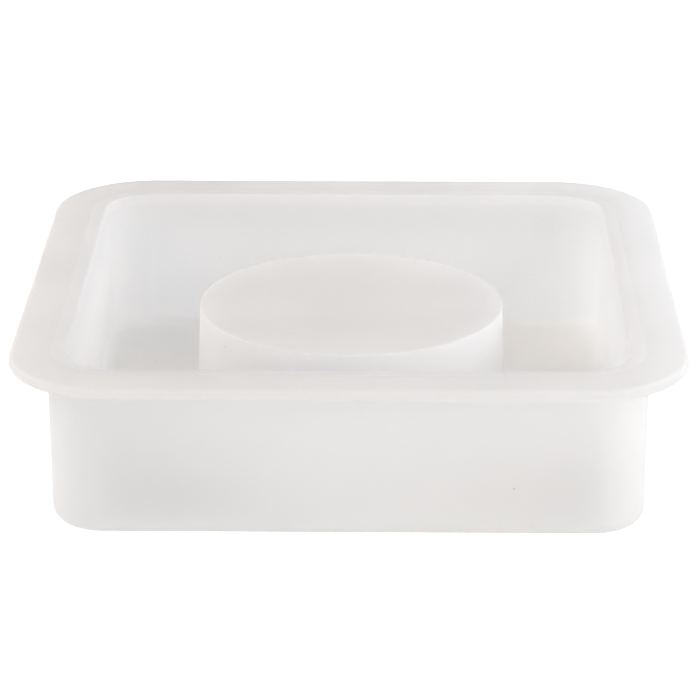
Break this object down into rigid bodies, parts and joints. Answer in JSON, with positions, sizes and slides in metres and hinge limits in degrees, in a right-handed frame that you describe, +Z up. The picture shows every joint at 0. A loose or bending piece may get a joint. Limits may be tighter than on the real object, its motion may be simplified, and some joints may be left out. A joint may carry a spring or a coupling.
{
  "type": "resin casting mould",
  "caption": "Square silicone casting mould: an open tray with a flat flange and round corners, and a flat-topped round core in its middle.",
  "frame": {"origin": "middle of the tray's underside, on the surface that the mould stands on", "axes": "+Z up, out of the open mouth; X and Y square to the four walls; the front wall is on the -Y side"},
  "size_m": [0.168, 0.168, 0.0425],
  "materials": {
    "tray_silicone": "milky translucent silicone, satin",
    "core_silicone": "milky translucent silicone, satin"
  },
  "bodies": {
    "tray": {"mould_tray": "tray_silicone"},
    "core": {"round_core": "core_silicone"}
  },
  "joints": [
    {"name": "core_lift", "type": "slide", "parent": "tray", "child": "core", "axis": [0, 0, 1], "range_m": [0, 0.045]}
  ]
}
